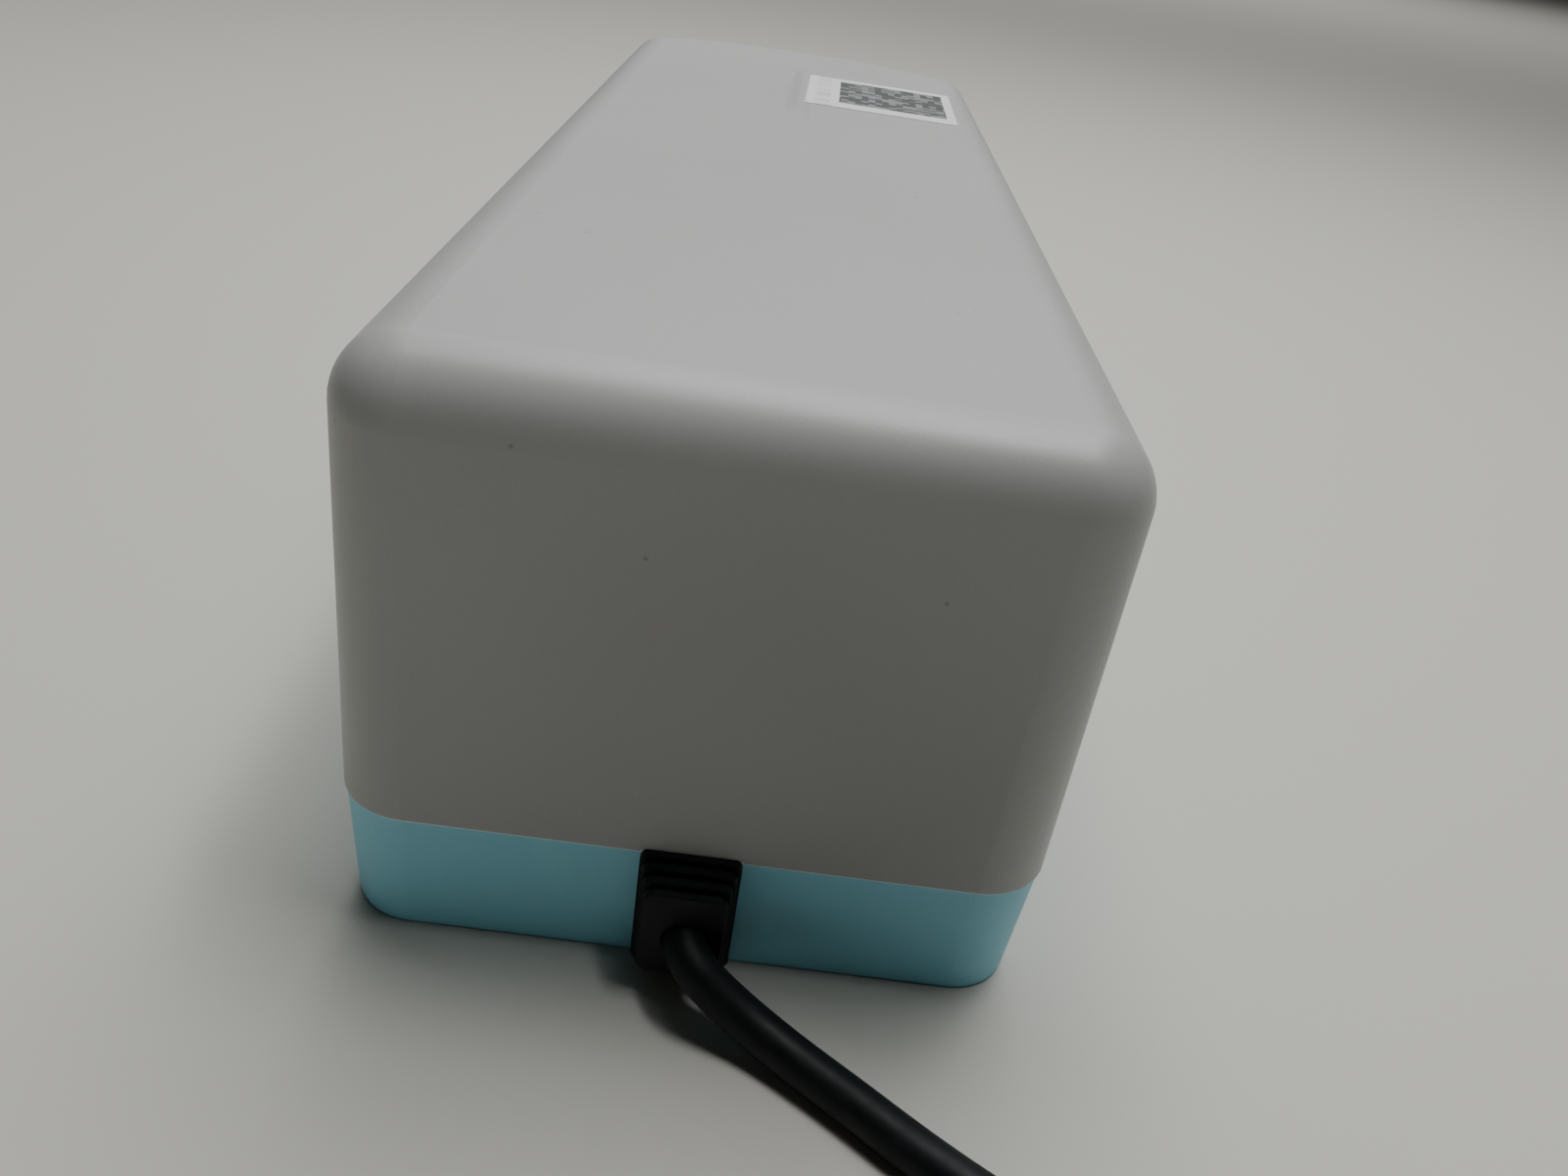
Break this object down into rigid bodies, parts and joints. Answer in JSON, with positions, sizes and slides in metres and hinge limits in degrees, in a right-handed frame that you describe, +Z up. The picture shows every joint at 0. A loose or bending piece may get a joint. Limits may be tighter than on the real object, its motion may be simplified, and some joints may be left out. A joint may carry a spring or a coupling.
{
  "type": "garage door opener",
  "caption": "Garage door opener head: a long two-part case holding a worm-geared motor, limit unit, control board and lamp, with a rail channel below and a mains cord at the rear.",
  "frame": {"origin": "on the underside, under the middle of the case", "axes": "+Z up from the base, +Y towards the bowed lamp end, the cord leaves the -Y end, +X towards the side with the control flap"},
  "size_m": [0.21, 0.602, 0.1295],
  "materials": {
    "shell_grey": "satin moulded",
    "base_blue": "satin moulded",
    "flap_grey": "satin moulded",
    "panel_dark": "matt",
    "lens_frost": "frosted translucent",
    "black_rubber": "matt",
    "cord_black": "satin",
    "tie_black": "matt",
    "zinc_sheet": "zinc plated",
    "steel": "ground",
    "screw_steel": "zinc plated",
    "can_steel": "satin black",
    "core_steel": "laminated",
    "magnet": "matt",
    "copper": "enamelled wire",
    "brass": "machined",
    "bronze": "sintered",
    "carbon": "matt",
    "nylon_white": "satin",
    "gearbox_black": "matt",
    "board_green": "solder mask",
    "relay_black": "matt",
    "cap_sleeve": "sleeved",
    "connector_white": "matt",
    "terminal_white": "matt",
    "coil_wrap": "tape",
    "button_grey": "gloss",
    "dial_red": "satin",
    "led_white": "clear",
    "lead_mix": "insulation"
  },
  "bodies": {
    "housing": {"base_tray": "base_blue", "board_capacitors": "cap_sleeve", "board_connectors": "connector_white", "board_relays": "relay_black", "chassis_plate": "zinc_sheet", "control_board": "board_green", "control_panel": "panel_dark", "cord_coil": "cord_black", "cord_tie": "tie_black", "cover_shell": "shell_grey", "flap_hinge_pin": "steel", "force_pots": "relay_black", "gearbox_case": "gearbox_black", "gearbox_lid": "gearbox_black", "housing_screws": "screw_steel", "lamp_board": "board_green", "lamp_leds": "led_white", "light_lens": "lens_frost", "limit_axles": "steel", "limit_bracket": "zinc_sheet", "limit_switches": "relay_black", "machine_screws": "screw_steel", "mains_cord": "cord_black", "mains_terminal": "terminal_white", "motor_brushes": "carbon", "motor_can": "can_steel", "motor_cradle": "black_rubber", "motor_end_cap": "gearbox_black", "motor_magnets": "magnet", "motor_tie_bolts": "screw_steel", "output_bushes": "bronze", "plug_body": "black_rubber", "plug_contacts": "brass", "strain_relief": "black_rubber", "supply_leads": "lead_mix", "tact_switches": "relay_black", "threaded_inserts": "brass", "transformer_bolts": "screw_steel", "transformer_coil": "coil_wrap", "transformer_core": "core_steel", "worm_bearings": "steel"},
    "output": {"output_shaft": "steel", "worm_wheel": "nylon_white", "shaft_key": "steel", "shaft_circlip": "steel", "limit_pinion": "nylon_white"},
    "rotor": {"worm_shaft": "steel", "armature_core": "core_steel", "armature_windings": "copper", "commutator": "copper"},
    "idler": {"limit_idler": "nylon_white"},
    "cam": {"limit_cam_gear": "nylon_white"},
    "open_lever": {"open_limit_lever": "zinc_sheet"},
    "close_lever": {"close_limit_lever": "zinc_sheet"},
    "open_button": {"button_open": "button_grey"},
    "close_button": {"button_close": "button_grey"},
    "learn_button": {"button_learn": "button_grey"},
    "open_dial": {"force_dial_open": "dial_red"},
    "close_dial": {"force_dial_close": "dial_red"},
    "flap": {"control_flap": "flap_grey"}
  },
  "joints": [
    {"name": "drive_spin", "type": "hinge", "parent": "housing", "child": "output", "pos_m": [0, 0.03, 0.052], "axis": [0, 0, 1], "continuous": true},
    {"name": "motor_spin", "type": "hinge", "parent": "housing", "child": "rotor", "pos_m": [-0.033, 0, 0.052], "axis": [0, 1, 0], "continuous": true},
    {"name": "idler_spin", "type": "hinge", "parent": "housing", "child": "idler", "pos_m": [0, 0.05888, 0.075], "axis": [0, 0, 1], "continuous": true},
    {"name": "cam_spin", "type": "hinge", "parent": "housing", "child": "cam", "pos_m": [0, 0.08776, 0.082], "axis": [0, 0, 1], "continuous": true},
    {"name": "open_lever_press", "type": "hinge", "parent": "housing", "child": "open_lever", "pos_m": [-0.0219, 0.07876, 0.088], "axis": [0, 0, 1], "range_deg": [0, 6], "stiffness_Nm_per_rad": 0.02},
    {"name": "close_lever_press", "type": "hinge", "parent": "housing", "child": "close_lever", "pos_m": [0.0219, 0.07876, 0.092], "axis": [0, 0, -1], "range_deg": [0, 6], "stiffness_Nm_per_rad": 0.02},
    {"name": "open_button_press", "type": "slide", "parent": "housing", "child": "open_button", "axis": [-1, 0, 0], "range_m": [0, 0.001], "stiffness_N_per_m": 800},
    {"name": "close_button_press", "type": "slide", "parent": "housing", "child": "close_button", "axis": [-1, 0, 0], "range_m": [0, 0.001], "stiffness_N_per_m": 800},
    {"name": "learn_button_press", "type": "slide", "parent": "housing", "child": "learn_button", "axis": [-1, 0, 0], "range_m": [0, 0.001], "stiffness_N_per_m": 800},
    {"name": "open_dial_turn", "type": "hinge", "parent": "housing", "child": "open_dial", "pos_m": [0.062, 0.046, 0.063], "axis": [1, 0, 0], "range_deg": [-135, 135]},
    {"name": "close_dial_turn", "type": "hinge", "parent": "housing", "child": "close_dial", "pos_m": [0.062, 0.068, 0.063], "axis": [1, 0, 0], "range_deg": [-135, 135]},
    {"name": "flap_swing", "type": "hinge", "parent": "housing", "child": "flap", "pos_m": [0.07202, 0.062, 0.0531], "axis": [0, 1, 0], "range_deg": [0, 95]}
  ],
  "couplings": [
    {"joint": "motor_spin", "follows": "drive_spin", "ratio": 32},
    {"joint": "idler_spin", "follows": "drive_spin", "ratio": -0.2},
    {"joint": "cam_spin", "follows": "drive_spin", "ratio": 0.04}
  ]
}
